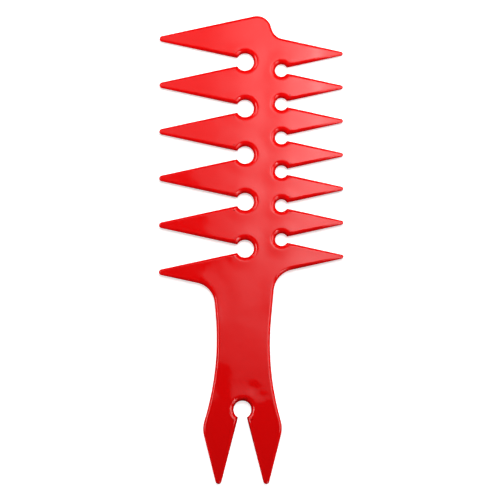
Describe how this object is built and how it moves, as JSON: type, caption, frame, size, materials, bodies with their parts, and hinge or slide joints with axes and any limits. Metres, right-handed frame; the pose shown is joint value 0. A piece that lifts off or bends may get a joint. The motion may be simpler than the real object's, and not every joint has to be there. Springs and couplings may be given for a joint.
{
  "type": "double-sided styling comb",
  "caption": "Flat double-sided styling comb: wide wedge teeth along the left edge, narrow ones along the right, round gullets between them, a waisted handle and a forked tail.",
  "frame": {"origin": "middle of the comb's outline, on the face that it lies on", "axes": "+Y along the handle towards the head, +X from the wide teeth to the narrow ones, +Z through the thickness, up from the face that it lies on"},
  "size_m": [0.0794, 0.2046, 0.004],
  "materials": {
    "red_plastic": "gloss"
  },
  "bodies": {
    "root": {"spine": "red_plastic", "handle": "red_plastic", "wide_tooth_1": "red_plastic", "wide_tooth_2": "red_plastic", "wide_tooth_3": "red_plastic", "wide_tooth_4": "red_plastic", "wide_tooth_5": "red_plastic", "wide_tooth_6": "red_plastic", "narrow_tooth_1": "red_plastic", "narrow_tooth_2": "red_plastic", "narrow_tooth_3": "red_plastic", "narrow_tooth_4": "red_plastic", "narrow_tooth_5": "red_plastic", "narrow_tooth_6": "red_plastic", "narrow_tooth_7": "red_plastic", "tail_prong_left": "red_plastic", "tail_prong_right": "red_plastic"}
  },
  "joints": []
}
